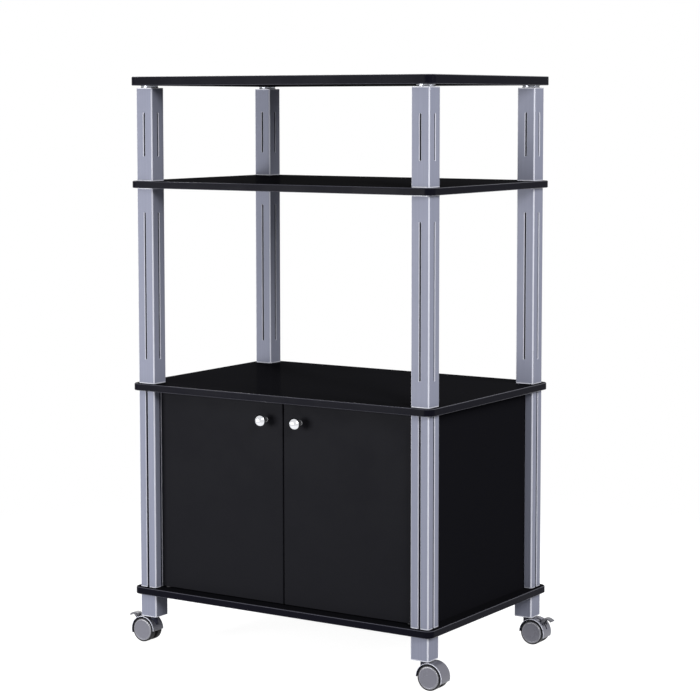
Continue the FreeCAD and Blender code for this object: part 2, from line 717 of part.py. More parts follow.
def brake_lever():
    """Lever with its arched pad, trunnions, stem and two brake lugs."""
    trunnion_half = HOOD_WEB / 2 - LEVER_SLOT_SIDE_GAP / 2
    trunnion = cross_rod(LEVER_TRUNNION_R, PIVOT_X, PIVOT_Z, -trunnion_half, trunnion_half)
    hub = cross_rod(LEVER_HUB_R, PIVOT_X, PIVOT_Z, -LEVER_STEM / 2, LEVER_STEM / 2)
    root_x = WHEEL_TRAIL + LEVER_ROOT_OUT
    root_z = WHEEL_R + LEVER_ROOT_UP - LEVER_THICKNESS / 2
    stem_outline = Part.makePolygon([
        Vector(PIVOT_X - LEVER_HUB_R * 0.5, -LEVER_STEM / 2, PIVOT_Z + LEVER_HUB_R * 0.7),
        Vector(root_x, -LEVER_STEM / 2, root_z),
        Vector(root_x + 2 * LEVER_HUB_R, -LEVER_STEM / 2, root_z),
        Vector(PIVOT_X + LEVER_HUB_R * 0.7, -LEVER_STEM / 2, PIVOT_Z - LEVER_HUB_R * 0.5),
        Vector(PIVOT_X - LEVER_HUB_R * 0.5, -LEVER_STEM / 2, PIVOT_Z + LEVER_HUB_R * 0.7),
    ])
    stem = Part.Face(stem_outline).extrude(Vector(0, LEVER_STEM, 0))
    lug_start = WHEEL_R + BRAKE_LUG_GAP
    lug_end = math.hypot(LEVER_CREST_OUT, LEVER_CREST_UP - LEVER_THICKNESS)
    along = (-BRAKE_LUG_LENGTH / 2, BRAKE_LUG_LENGTH / 2)
    low = BRAKE_LUG_FROM_MIDDLE
    high = BRAKE_LUG_FROM_MIDDLE + BRAKE_LUG
    lugs = [
        lug_frame(block((lug_start, lug_end), y_range, along))
        for y_range in ((low, high), (-high, -low))
    ]
    return lever_arch().fuse([trunnion, hub, stem] + lugs).removeSplitter()


def caster_socket():
    """Block in the foot tube that holds the caster's stem."""
    stem_hole = rod(STEM_R + THREAD_CLEARANCE, -1, STEM_IN_SOCKET + THREAD_CLEARANCE)
    return plug_blank(SOCKET_LENGTH).cut(stem_hole)


def caster_stem():
    """Stem with the flange that the hood turns under."""
    stem = rod(STEM_R, STEM_LOW, CASTER_HEIGHT + STEM_IN_SOCKET)
    return stem.fuse(rod(STEM_FLANGE_R, CASTER_HEIGHT - STEM_FLANGE, CASTER_HEIGHT))


def make_casters():
    save("caster_sockets", *at_corners(caster_socket(), CASTER_HEIGHT))
    save("caster_stems", *at_corners(caster_stem()))

    rear_wheel = wheel()
    pieces = {
        "axle": wheel_band(AXLE_R, -AXLE_HALF_LENGTH, AXLE_HALF_LENGTH),
        "front_wheel": rear_wheel.mirror(Vector(0, 0, 0), TO_BACK),
        "rear_wheel": rear_wheel,
    }
    plain_hood = hood()
    braked_hood = plain_hood.cut(brake_cuts())
    for corner, (x, y) in CORNERS.items():
        facing = 0 if x > 0 else 180
        braked = corner in BRAKED_CASTERS
        own = dict(pieces, hood=braked_hood if braked else plain_hood)
        if braked:
            own["brake_lever"] = brake_lever()
        if facing:
            own["front_wheel"], own["rear_wheel"] = own["rear_wheel"], own["front_wheel"]
        for piece, shape in own.items():
            save(corner + "_caster_" + piece, turned(shape, facing).translated(Vector(x, y, 0)))


os.makedirs("parts", exist_ok=True)
make_boards()
make_posts()
make_joints()
make_panels()
make_doors()
make_casters()
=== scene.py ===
# %% [markdown]
# # A rolling microwave stand, dressed over its CAD frame
#
# The stand is four black boards held apart by square silver posts, with a two-door cabinet in the
# lowest tier and four twin-wheel casters below. The CAD frame already holds every solid at its real
# size, so this script adds what a photographer would notice: rounded arrises, turned metal, satin
# and gloss, and the light of a small studio. Everything is in metres: +X is the stand's right, +Y
# its back, +Z up, and the floor is at zero.

import json
import math

import bpy
from mathutils import Euler, Matrix, Vector

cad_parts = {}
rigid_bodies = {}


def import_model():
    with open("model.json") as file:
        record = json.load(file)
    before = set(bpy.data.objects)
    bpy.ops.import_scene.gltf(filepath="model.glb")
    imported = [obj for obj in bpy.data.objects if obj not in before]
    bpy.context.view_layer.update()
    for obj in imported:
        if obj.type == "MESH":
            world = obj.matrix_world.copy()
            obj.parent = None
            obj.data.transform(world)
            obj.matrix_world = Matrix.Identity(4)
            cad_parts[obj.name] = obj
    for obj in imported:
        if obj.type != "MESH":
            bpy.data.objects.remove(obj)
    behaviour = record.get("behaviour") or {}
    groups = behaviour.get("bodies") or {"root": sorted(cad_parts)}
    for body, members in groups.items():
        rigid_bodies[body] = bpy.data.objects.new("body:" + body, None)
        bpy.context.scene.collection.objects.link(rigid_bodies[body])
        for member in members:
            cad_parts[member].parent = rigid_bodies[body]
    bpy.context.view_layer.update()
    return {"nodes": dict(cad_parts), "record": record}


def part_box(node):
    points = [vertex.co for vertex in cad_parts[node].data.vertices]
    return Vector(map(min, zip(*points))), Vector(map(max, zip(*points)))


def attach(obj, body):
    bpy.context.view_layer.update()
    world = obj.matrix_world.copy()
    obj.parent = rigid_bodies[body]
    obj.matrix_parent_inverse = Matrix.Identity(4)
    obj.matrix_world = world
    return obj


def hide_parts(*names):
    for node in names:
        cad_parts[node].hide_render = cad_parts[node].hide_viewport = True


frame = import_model()
nodes = frame["nodes"]
record = frame["record"]
MM = 0.001

node_body = {n: body for body, names in record["behaviour"]["bodies"].items() for n in names}
node_slot = {row["node"]: row["material_slot"] for row in record["subparts"]}

# %% [markdown]
# ## The camera
#
# The picture is taken from the stand's right front, with a long lens, from just below the height of
# the top board, so that its underside shows. A long lens keeps the posts almost parallel. The lens
# is shifted down a little instead of tilting the camera more, because a tilt would make the upright
# posts lean together. The roll is a few hundredths of a degree, as a tripod's head has.

# %% Camera
FOCAL_PIXELS = 2122.4
FRAME_PIXELS = 700.0
YAW = math.radians(32.907)
PITCH = math.radians(5.2505)
ROLL = math.radians(-0.038)

lens = bpy.data.cameras.new("studio_camera")
lens.sensor_width = 36.0
lens.lens = FOCAL_PIXELS / FRAME_PIXELS * lens.sensor_width
lens.shift_y = -0.074
lens.clip_end = 50.0
camera = bpy.data.objects.new("studio_camera", lens)
bpy.context.scene.collection.objects.link(camera)
aim = Euler((math.pi / 2 - PITCH, 0, YAW)).to_matrix() @ Matrix.Rotation(ROLL, 3, "Z")
camera.matrix_world = Matrix.Translation((1.98784, -3.0415, 0.93495)) @ aim.to_4x4()
bpy.context.scene.camera = camera
print("lens", round(lens.lens, 1), "mm at", [round(v, 2) for v in camera.location])

# %% [markdown]
# ## The studio
#
# The stand is on a seamless white sweep. A white floor lit by lamps fades with distance, so its
# colour for the camera is set in the material: the parts that are lit show as pure white, and only
# where the stand keeps the lamps off does it darken. Light Path tells the material which rays come
# from the camera, or from a mirror-like surface that should show the same white. The stand itself
# is lit by the world at a plain level, and by four soft lamps.

# %% Studio: world
WHITE = (1.0, 1.0, 1.0, 1.0)


def new_tree(tree):
    """Empties a node tree and gives short ways to add and join its nodes."""
    tree.nodes.clear()

    def add(kind, **settings):
        node = tree.nodes.new(kind)
        for key, value in settings.items():
            setattr(node, key, value)
        return node

    def join(source, target):
        tree.links.new(source, target)

    return add, join


def maths(add, join, operation, first, second):
    """One Math node: each of its two inputs is a socket or a number."""
    node = add("ShaderNodeMath", operation=operation)
    for slot, value in zip(node.inputs, (first, second)):
        if isinstance(value, bpy.types.NodeSocket):
            join(value, slot)
        else:
            slot.default_value = value
    return node.outputs[0]


def seen_directly(add, join):
    """One for camera rays and mirror or glass rays, zero for light that falls on things."""
    path = add("ShaderNodeLightPath")
    seen = maths(add, join, "MAXIMUM", path.outputs["Is Camera Ray"], path.outputs["Is Glossy Ray"])
    return maths(add, join, "MAXIMUM", seen, path.outputs["Is Transmission Ray"])


world = bpy.data.worlds.new("studio_world")
bpy.context.scene.world = world
bpy.context.scene.view_settings.view_transform = "Standard"
world.use_nodes = True
add, join = new_tree(world.node_tree)
shown = add("ShaderNodeBackground")
shown.inputs["Color"].default_value = WHITE
lighting = add("ShaderNodeBackground")
lighting.inputs["Color"].default_value = (0.93, 0.95, 1.0, 1.0)
lighting.inputs["Strength"].default_value = 0.20
mixed = add("ShaderNodeMixShader")
join(seen_directly(add, join), mixed.inputs[0])
join(lighting.outputs[0], mixed.inputs[1])
join(shown.outputs[0], mixed.inputs[2])
join(mixed.outputs[0], add("ShaderNodeOutputWorld").inputs[0])
print("world strength for light", lighting.inputs["Strength"].default_value)

# %% [markdown]
# ### The floor
#
# A plain white floor under lamps is never quite the white of the paper that the picture is printed
# on. So for the camera it glows a little by itself, enough that its lit parts reach full white, and
# beyond a metre it fades into the plain white of the world, so that no horizon shows. For the light
# that bounces it stays an ordinary matt floor.

# %% Studio: floor
FLOOR_SIZE = 14.0
SHADOW_WHOLE = 0.5
SHADOW_REACH = 1.4

bpy.ops.object.select_all(action="DESELECT")
bpy.ops.mesh.primitive_grid_add(x_subdivisions=4, y_subdivisions=4, size=FLOOR_SIZE)
floor = bpy.context.object
floor.name = "studio_floor"
floor_paint = bpy.data.materials.new("floor_paint")
floor_paint.use_nodes = True
add, join = new_tree(floor_paint.node_tree)
matt = add("ShaderNodeBsdfDiffuse")
matt.inputs["Color"].default_value = (0.35, 0.35, 0.35, 1.0)
glow = add("ShaderNodeEmission")
glow.inputs["Color"].default_value = WHITE
glow.inputs["Strength"].default_value = 0.93
both = add("ShaderNodeAddShader")
join(matt.outputs[0], both.inputs[0])
join(glow.outputs[0], both.inputs[1])
plain = add("ShaderNodeEmission")
plain.inputs["Color"].default_value = WHITE
place = add("ShaderNodeTexCoord")
distance = add("ShaderNodeVectorMath", operation="LENGTH")
join(place.outputs["Object"], distance.inputs[0])
fade = add("ShaderNodeMapRange", interpolation_type="SMOOTHSTEP")
join(distance.outputs["Value"], fade.inputs["Value"])
fade.inputs["From Min"].default_value = SHADOW_WHOLE
fade.inputs["From Max"].default_value = SHADOW_REACH
swept = add("ShaderNodeMixShader")
join(fade.outputs["Result"], swept.inputs[0])
join(both.outputs[0], swept.inputs[1])
join(plain.outputs[0], swept.inputs[2])
chosen = add("ShaderNodeMixShader")
join(seen_directly(add, join), chosen.inputs[0])
join(matt.outputs[0], chosen.inputs[1])
join(swept.outputs[0], chosen.inputs[2])
join(chosen.outputs[0], add("ShaderNodeOutputMaterial").inputs["Surface"])
floor.data.materials.append(floor_paint)
print("floor", FLOOR_SIZE, "m square")

# %% [markdown]
# ### The lamps
#
# Satin plastic is judged by what it mirrors. A softbox low at the left front gives the posts their
# even front faces, and is small enough that the nearest post doesn't mirror it in full. A second one,
# high at the right front, lights the rounded corners of the posts, whose bright line is mostly a
# painted highlight in their finish. A third beside the stand lights the faces that look to the right,
# more towards the back. The fourth stands behind the left side, and lights the back and the left for
# anyone who walks round the stand.

# %% Studio: lamps


def soft_lamp(name, place, target, width, height, power):
    """A rectangular softbox at place that looks at target."""
    light = bpy.data.lights.new(name, "AREA")
    light.shape = "RECTANGLE"
    light.size = width
    light.size_y = height
    light.energy = power
    lamp = bpy.data.objects.new(name, light)
    bpy.context.scene.collection.objects.link(lamp)
    lamp.location = place
    lamp.rotation_euler = (Vector(target) - Vector(place)).to_track_quat("-Z", "Y").to_euler()
    return lamp


MIDDLE = (0.0, 0.0, 0.5)
lamps = [
    soft_lamp("key_lamp", (-1.15, -2.27, 0.57), (0.1, -0.2, 0.57), 1.3, 1.0, 60.0),
    soft_lamp("corner_lamp", (2.7, -2.0, 2.3), MIDDLE, 0.9, 1.4, 66.0),
    soft_lamp("side_lamp", (3.1, 0.0, 1.7), MIDDLE, 1.2, 1.2, 56.0),
    soft_lamp("back_lamp", (-2.1, 2.1, 2.5), MIDDLE, 1.4, 1.0, 85.0),
]
print("lamps:", [(lamp.name, lamp.data.energy) for lamp in lamps])

# %% [markdown]
# ## Effects that several finishes share
#
# Three things keep moulded and painted surfaces from looking like computer graphics: a fine grain
# left by the mould, faint streaks along the direction in which a strip was drawn or a panel was
# sanded, and the dull patches that handling leaves. Each is a node group with named sockets, built
# once here and placed in the materials with their own values. They read Object coordinates, so the
# patterns have the same scale on every piece and don't depend on unwrapping.

# %% Shared effects


def effect_group(name, inputs, outputs):
    """An empty node group with float or vector inputs and float outputs."""
    group = bpy.data.node_groups.new(name, "ShaderNodeTree")
    for label, kind, value in inputs:
        socket = group.interface.new_socket(label, in_out="INPUT", socket_type=kind)
        if value is not None:
            socket.default_value = value
    for label in outputs:
        group.interface.new_socket(label, in_out="OUTPUT", socket_type="NodeSocketFloat")
    return group


def noise_node(add, join, vector, scale, detail=3.0, roughness=0.55):
    node = add("ShaderNodeTexNoise")
    join(vector, node.inputs["Vector"])
    if isinstance(scale, bpy.types.NodeSocket):
        join(scale, node.inputs["Scale"])
    else:
        node.inputs["Scale"].default_value = scale
    node.inputs["Detail"].default_value = detail
    node.inputs["Roughness"].default_value = roughness
    return node.outputs["Fac"]


grain_group = effect_group(
    "mould_grain",
    [("Grains per metre", "NodeSocketFloat", 900.0)],
    ["Height"],
)
add, join = new_tree(grain_group)
given = add("NodeGroupInput")
place = add("ShaderNodeTexCoord")
coarse = noise_node(add, join, place.outputs["Object"], given.outputs["Grains per metre"])
cells = add("ShaderNodeTexVoronoi")
join(place.outputs["Object"], cells.inputs["Vector"])
join(given.outputs["Grains per metre"], cells.inputs["Scale"])
height = maths(add, join, "MULTIPLY_ADD", coarse, 0.6)
join(maths(add, join, "MULTIPLY", cells.outputs["Distance"], 0.4), height.node.inputs[2])
join(height, add("NodeGroupOutput").inputs["Height"])

streak_group = effect_group(
    "drawn_streaks",
    [("Stretch", "NodeSocketVector", (900.0, 900.0, 6.0))],
    ["Streaks"],
)
add, join = new_tree(streak_group)
given = add("NodeGroupInput")
place = add("ShaderNodeTexCoord")
stretched = add("ShaderNodeVectorMath", operation="MULTIPLY")
join(place.outputs["Object"], stretched.inputs[0])
join(given.outputs["Stretch"], stretched.inputs[1])
fine = noise_node(add, join, stretched.outputs[0], 1.0, detail=4.0)
join(fine, add("NodeGroupOutput").inputs["Streaks"])

handling_group = effect_group(
    "handling_marks",
    [("Patches per metre", "NodeSocketFloat", 14.0)],
    ["Marks"],
)
add, join = new_tree(handling_group)
given = add("NodeGroupInput")
place = add("ShaderNodeTexCoord")
patches = noise_node(add, join, place.outputs["Object"], given.outputs["Patches per metre"], 5.0, 0.62)
spread = add("ShaderNodeMapRange", interpolation_type="SMOOTHSTEP")
join(patches, spread.inputs["Value"])
spread.inputs["From Min"].default_value = 0.38
spread.inputs["From Max"].default_value = 0.66
join(spread.outputs["Result"], add("NodeGroupOutput").inputs["Marks"])
print("effects:", grain_group.name, streak_group.name, handling_group.name)

# %% [markdown]
# ## A recipe for finishes
#
# Every finish here is one Principled shader with its colour and roughness varied a little by the
# shared effects, and a very shallow bump. Writing that once keeps the finishes comparable: each one
# below only says how it differs. Values that are the same all over, such as the specular level, are
# set on the shader itself.

# %% Finish recipe


def ranged(add, join, value, low, high):
    """Maps a zero-to-one value onto the range from low to high."""
    node = add("ShaderNodeMapRange")
    join(value, node.inputs["Value"])
    node.inputs["To Min"].default_value = low
    node.inputs["To Max"].default_value = high
    return node.outputs["Result"]


def placed_group(add, group, **values):
    node = add("ShaderNodeGroup", node_tree=group)
    for label, value in values.items():
        node.inputs[label.replace("_", " ")].default_value = value
    return node.outputs[0]


def blended(add, join, factor, first, second):
    """A colour between first and second, by factor."""
    node = add("ShaderNodeMix", data_type="RGBA")
    join(factor, node.inputs["Factor"])
    node.inputs["A"].default_value = first
    node.inputs["B"].default_value = second
    return node.outputs["Result"]


def finish(name, colour, second_colour, roughness, grain=None, grain_depth=0.0, streaks=None,
           metallic=0.0, specular=0.5, coat=0.0, coat_roughness=0.1, patches=14.0):
    """Two close colours, a range of roughness, and a grain or streaks."""
    material = bpy.data.materials.new(name)
    material.use_nodes = True
    add, join = new_tree(material.node_tree)
    shader = add("ShaderNodeBsdfPrincipled")
    shader.inputs["Metallic"].default_value = metallic
    shader.inputs["Specular IOR Level"].default_value = specular
    shader.inputs["Coat Weight"].default_value = coat
    shader.inputs["Coat Roughness"].default_value = coat_roughness
    marks = placed_group(add, handling_group, Patches_per_metre=patches)
    fine = marks
    if streaks is not None:
        fine = placed_group(add, streak_group, Stretch=streaks)
    elif grain is not None:
        fine = placed_group(add, grain_group, Grains_per_metre=grain)
    join(blended(add, join, fine, (*colour, 1.0), (*second_colour, 1.0)), shader.inputs["Base Color"])
    join(ranged(add, join, marks, *roughness), shader.inputs["Roughness"])
    if grain_depth > 0.0:
        bump = add("ShaderNodeBump")
        bump.inputs["Strength"].default_value = 0.35
        bump.inputs["Distance"].default_value = grain_depth
        join(fine, bump.inputs["Height"])
        join(bump.outputs["Normal"], shader.inputs["Normal"])
    join(shader.outputs[0], add("ShaderNodeOutputMaterial").inputs["Surface"])
    return material


print("recipe ready")

# %% [markdown]
# ## The finishes
#
# The boards are particle board faced with black laminate, which is nearly matt and reflects little
# even at a flat angle. Their edging is a plastic strip that is a shade bluer and lighter. The posts
# are silver-grey plastic, with faint streaks along their length. The casters mix silver-painted
# plastic, black rubber and dark grey levers, and the knobs are chrome plated.

# %% Finishes
board_black = finish(
    "board_black", (0.0055, 0.0055, 0.0070), (0.0075, 0.0075, 0.0090), (0.50, 0.60),
    grain=700.0, grain_depth=0.02 * MM, specular=0.0, coat=0.006, coat_roughness=0.12,
)
edging_grey = finish(
    "edging_grey", (0.0035, 0.0035, 0.0065), (0.005, 0.005, 0.009), (0.28, 0.36),
    streaks=(5.0, 5.0, 1400.0), specular=0.02,
)
# Painted highlight: a much paler edging for the bevels along the arrises, for the bright line of light
# along them.
edging_highlight = finish(
    "edging_highlight", (0.035, 0.035, 0.048), (0.06, 0.06, 0.075), (0.30, 0.40),
    streaks=(30.0, 30.0, 400.0), specular=0.2,
)
door_black = finish(
    "door_black", (0.0075, 0.0075, 0.0095), (0.0105, 0.0105, 0.0130), (0.45, 0.55),
    grain=700.0, grain_depth=0.02 * MM, specular=0.02,
)
panel_black = finish(
    "panel_black", (0.0055, 0.0055, 0.0072), (0.0075, 0.0075, 0.0092), (0.50, 0.60),
    grain=500.0, grain_depth=0.03 * MM, specular=0.0,
)
post_silver = finish(
    "post_silver", (0.198, 0.208, 0.268), (0.245, 0.257, 0.328), (0.30, 0.40),
    streaks=(520.0, 520.0, 5.0), specular=0.05,
)
# Painted highlight: a pale, glossier silver for the posts' corners, slot lips and ends, and for the
# arris of the caster hoods.
painted_highlight = finish(
    "painted_highlight", (0.52, 0.53, 0.60), (0.60, 0.61, 0.68), (0.24, 0.32),
    grain=1500.0, specular=0.4,
)
# Painted shade and black plastic: near-black for the faces deep inside the posts' slots, where shade
# falls, and for the black rims, boss and inside of the caster hoods.
shade_and_black = finish(
    "shade_and_black", (0.018, 0.019, 0.032), (0.026, 0.027, 0.044), (0.50, 0.65),
    grain=1500.0, grain_depth=0.02 * MM, specular=0.1,
)
neck_silver = finish(
    "neck_silver", (0.55, 0.56, 0.60), (0.62, 0.63, 0.67), (0.16, 0.24),
    grain=900.0, metallic=0.85,
)
chrome = finish(
    "chrome", (0.66, 0.67, 0.70), (0.76, 0.77, 0.80), (0.06, 0.14),
    grain=400.0, metallic=1.0, patches=60.0,
)
dull_chrome = finish(
    "dull_chrome", (0.14, 0.14, 0.15), (0.20, 0.20, 0.21), (0.24, 0.34),
    grain=400.0, metallic=0.5, patches=60.0,
)
hood_silver = finish(
    "hood_silver", (0.11, 0.11, 0.14), (0.16, 0.16, 0.19), (0.30, 0.42),
    grain=1500.0, grain_depth=0.02 * MM, metallic=0.1, specular=0.45,
)
disc_silver = finish(
    "disc_silver", (0.14, 0.14, 0.17), (0.19, 0.19, 0.22), (0.26, 0.36),
    grain=1500.0, grain_depth=0.02 * MM, metallic=0.1, specular=0.2,
)
# Partly a painted highlight: the disc's rounded edge is glossier, and a little lighter for the bright
# crescent along it.
disc_rim_highlight = finish(
    "disc_rim_highlight", (0.17, 0.17, 0.20), (0.22, 0.22, 0.25), (0.24, 0.32),
    grain=1500.0, specular=1.0,
)
tread_black = finish(
    "tread_black", (0.008, 0.008, 0.009), (0.014, 0.014, 0.015), (0.55, 0.75),
    grain=1800.0, grain_depth=0.06 * MM, specular=0.2,
)
lever_grey = finish(
    "lever_grey", (0.10, 0.10, 0.115), (0.14, 0.14, 0.16), (0.28, 0.40),
    grain=1500.0, grain_depth=0.03 * MM, specular=0.35,
)
inner_grey = finish(
    "inner_grey", (0.014, 0.014, 0.016), (0.022, 0.022, 0.024), (0.45, 0.60),
    grain=1200.0, grain_depth=0.03 * MM, specular=0.3,
)
plated_steel = finish(
    "plated_steel", (0.50, 0.50, 0.52), (0.60, 0.60, 0.62), (0.22, 0.36),
    streaks=(900.0, 900.0, 60.0), metallic=1.0,
)
magnet_black = finish(
    "magnet_black", (0.014, 0.014, 0.014), (0.024, 0.024, 0.024), (0.40, 0.55),
    grain=1200.0, grain_depth=0.03 * MM,
)

SLOT_FINISH = {
    "board_laminate": board_black,
    "board_edging": edging_grey,
    "post_plastic": post_silver,
    "inner_plastic": inner_grey,
    "collar_plastic": neck_silver,
    "fitting_steel": plated_steel,
    "side_board": panel_black,
    "catch_plastic": magnet_black,
    "door_laminate": door_black,
    "knob_chrome": chrome,
    "wheel_plastic": disc_silver,
    "hood_plastic": hood_silver,
    "lever_plastic": lever_grey,
}


def dress(piece, material):
    """Gives the whole piece one material."""
    if piece.material_slots:
        for slot in piece.material_slots:
            slot.material = material
    else:
        piece.data.materials.append(material)


for name, node in nodes.items():
    dress(node, SLOT_FINISH[node_slot[name]])
print(len(SLOT_FINISH), "finishes on", len(nodes), "CAD nodes")

# %% [markdown]
# ## Softened copies of moulded pieces
#
# The CAD solids have knife-sharp arrises, which no moulded or edged piece has, and it is the narrow
# bright line along an arris that makes a surface read as real. A CAD mesh is a heap of separate
# triangles, so it can't be bevelled as it is. A copy is merged into one skin, its flat triangles are
# joined back into whole faces, and then a Bevel modifier rounds each sharp edge by a few tenths of a
# millimetre. Weighted normals keep the large faces flat to the eye.

# %% Softened copies


def edit(piece):
    """Selects only this piece, opens it in edit mode and selects all of its mesh."""
    bpy.ops.object.select_all(action="DESELECT")
    bpy.context.view_layer.objects.active = piece
    piece.select_set(True)
    bpy.ops.object.mode_set(mode="EDIT")
    bpy.ops.mesh.select_all(action="SELECT")


def leave_edit():
    bpy.ops.object.mode_set(mode="OBJECT")


def finished(piece, smooth_angle):
    """Smooth shading up to an angle, with the flat faces kept flat."""
    bpy.ops.object.select_all(action="DESELECT")
    bpy.context.view_layer.objects.active = piece
    piece.select_set(True)
    bpy.ops.object.shade_smooth_by_angle(angle=smooth_angle)
    weighted = piece.modifiers.new("weighted", "WEIGHTED_NORMAL")
    weighted.keep_sharp = True
    bpy.ops.object.modifier_apply(modifier=weighted.name)


def stand_for(piece, node, material):
    """The piece takes a CAD node's place: its body, and the node is hidden."""
    dress(piece, material)
    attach(piece, node_body[node])
    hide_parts(node)


def softened(node, name, radius, segments=2, trim=0.0, clamp=True):
    """A merged copy of a CAD node with its sharp edges rounded, cut round near its ends by trim."""
    piece = bpy.data.objects.new(name, nodes[node].data.copy())
    bpy.context.scene.collection.objects.link(piece)
    edit(piece)
    bpy.ops.mesh.remove_doubles(threshold=0.002 * MM)
    bpy.ops.mesh.dissolve_limited(angle_limit=math.radians(0.5))
    if trim > 0.0:
        low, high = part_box(node)
        for level in (low.z + trim, high.z - trim):
            bpy.ops.mesh.select_all(action="SELECT")
            bpy.ops.mesh.bisect(plane_co=(0, 0, level), plane_no=(0, 0, 1))
    leave_edit()
    if radius > 0.0:
        bevel = piece.modifiers.new("arris", "BEVEL")
        bevel.width = radius
        bevel.segments = segments
        bevel.limit_method = "ANGLE"
        bevel.angle_limit = math.radians(28)
        bevel.use_clamp_overlap = clamp
        bevel.loop_slide = True
        bpy.ops.object.modifier_apply(modifier=bevel.name)
    finished(piece, math.radians(50))
    stand_for(piece, node, SLOT_FINISH[node_slot[node]])
    return piece


def second_finish(piece, material, chosen):
    """Gives the faces that chosen(face) picks a further material."""
    piece.data.materials.append(material)
    index = len(piece.data.materials) - 1
    picked = [face for face in piece.data.polygons if chosen(face)]
    for face in picked:
        face.material_index = index
    return len(picked)


ARRIS = 0.3 * MM
soft_nodes = ["left_door", "right_door"]
soft_nodes += [name for name in nodes if name.endswith("_brake_lever")]
for name in soft_nodes:
    piece = softened(name, name + "_soft", ARRIS)
print(len(soft_nodes), "softened pieces, the last has", len(piece.data.polygons), "faces")

# %% [markdown]
# ### The boards' edging
#
# The plastic strip round a board is trimmed flush after it is glued, and the cutter eases both of
# its arrises. The narrow bevel that this leaves gets a much paler material: a painted highlight for
# the bright line along each arris, over the slight paleness that scraping leaves. The bevel is the
# only part of the strip that leans, so its faces are found by their normals.

# %% Edging
LEAN_LEAST = 0.25
LEAN_MOST = 0.95

bands = softened("shelf_edge_bands", "shelf_edge_bands_soft", ARRIS)
# Painted highlight: the leaning bevel faces get the pale edging.
pale = second_finish(
    bands, edging_highlight, lambda face: LEAN_LEAST < abs(face.normal.z) < LEAN_MOST
)
print(pale, "of", len(bands.data.polygons), "faces of the edging are pale")

# %% [markdown]
# ### The posts
#
# A post is a moulding, spray-painted silver, with slots down its sides. The faces that lie deeper than
# about a millimetre below its sides get a near-black material, painted shade for the inside of the
# slots, so that a slot shows as a dark line between two bright lips. Its rounded corners, the lips of
# its slots and its ends get a pale, glossier material, a painted highlight for the bright line that
# light draws along them. The dark faces are found by how deep they lie below the post's sides, and
# the bright ones by their place near an end or by a normal that points between two sides.

# %% Posts
END_RIM = 1.5 * MM
# Faces deeper than this below a post's sides get painted shade.
RECESS_DEPTH = 1.1 * MM
BETWEEN_SIDES = 0.35
UPRIGHT = 0.5

post_nodes = [name for name in nodes if "_post_" in name and node_slot[name] == "post_plastic"]
for name in post_nodes:
    piece = softened(name, name + "_soft", ARRIS, trim=END_RIM)
    low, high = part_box(name)
    centre = (low + high) / 2
    half = (high.x - low.x) / 2
    recess_edge = half - RECESS_DEPTH

    def side_place(face):
        return max(abs(face.center.x - centre.x), abs(face.center.y - centre.y))

    # Painted shade: faces deep inside the slots get the near-black material.
    dark = second_finish(
        piece, shade_and_black, lambda face: side_place(face) < recess_edge and abs(face.normal.z) < UPRIGHT
    )
    # Painted highlight: corners, slot lips and ends get the pale material.
    rims = second_finish(
        piece, painted_highlight,
        lambda face: side_place(face) > recess_edge
        and (min(face.center.z - low.z, high.z - face.center.z) < END_RIM
             or min(abs(face.normal.x), abs(face.normal.y)) > BETWEEN_SIDES),
    )
print(len(post_nodes), "posts, the last with", dark, "dark and", rims, "bright faces")

# %% [markdown]
# ### The hoods of the casters
#
# The hood over a pair of wheels is moulded in black and silvered on its round back only. Its two
# flat rims stay black, and so does the boss that the stem goes into. Along the rounded arris where
# silver and black meet, a pale material is a painted highlight for the fine bright line it catches.
# The boss is found by its distance from the caster's swivel axis, and the rims by the direction in
# which they face.

# %% Hoods
HOOD_ARRIS = 0.9 * MM
BOSS_REACH = 6.8 * MM
BOSS_LOW = 30.0 * MM
FLAT_RIM = 0.995

joints = record["behaviour"]["joints"]
swivels = {joint["child"]: joint["pos_m"] for joint in joints}
axles = {joint["parent"]: joint["pos_m"] for joint in joints if "wheel_spin" in joint["name"]}
hood_nodes = [name for name in nodes if name.endswith("_caster_hood")]
for name in hood_nodes:
    piece = softened(name, name + "_soft", HOOD_ARRIS, segments=4, clamp=False)
    stem = swivels[node_body[name]]
    low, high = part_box(name)

    def from_stem(face):
        return math.hypot(face.center.x - stem[0], face.center.y - stem[1])

    axle = axles[node_body[name]]
    outer = (high.x - low.x) / 2 - HOOD_ARRIS

    def from_axle(face):
        return math.hypot(face.center.x - (low.x + high.x) / 2, face.center.z - axle[2])

    # Painted highlight: the hood's rounded arris gets the pale material for its bright line.
    arris = second_finish(
        piece, painted_highlight,
        lambda face: abs(face.normal.y) < FLAT_RIM and from_axle(face) > outer
        and min(face.center.y - low.y, high.y - face.center.y) < HOOD_ARRIS,
    )
    black = second_finish(
        piece, shade_and_black,
        lambda face: abs(face.normal.y) > FLAT_RIM or from_axle(face) < outer
        or (from_stem(face) < BOSS_REACH and face.center.z > BOSS_LOW),
    )
print(len(hood_nodes), "hoods, the last with", arris, "bright and", black, "black faces")

# %% [markdown]
# ## Turned pieces
#
# Knobs, wheels and the necks under the top board are bodies of revolution. In the CAD they are made
# of flat facets, few enough for a physics engine, and their outline looks cut with a knife. Here
# each is turned again with far more steps round: a disc is added, and its face is extruded and
# scaled ring by ring along the profile, as a potter pulls up a wall. The rings are tied to the size
# of the CAD piece, so that what turns in the frame also turns here. The profile is made along +Z
# and then laid over by an operator, because the wheels turn about Y.

# %% Turned pieces
TURN_STEPS = 72


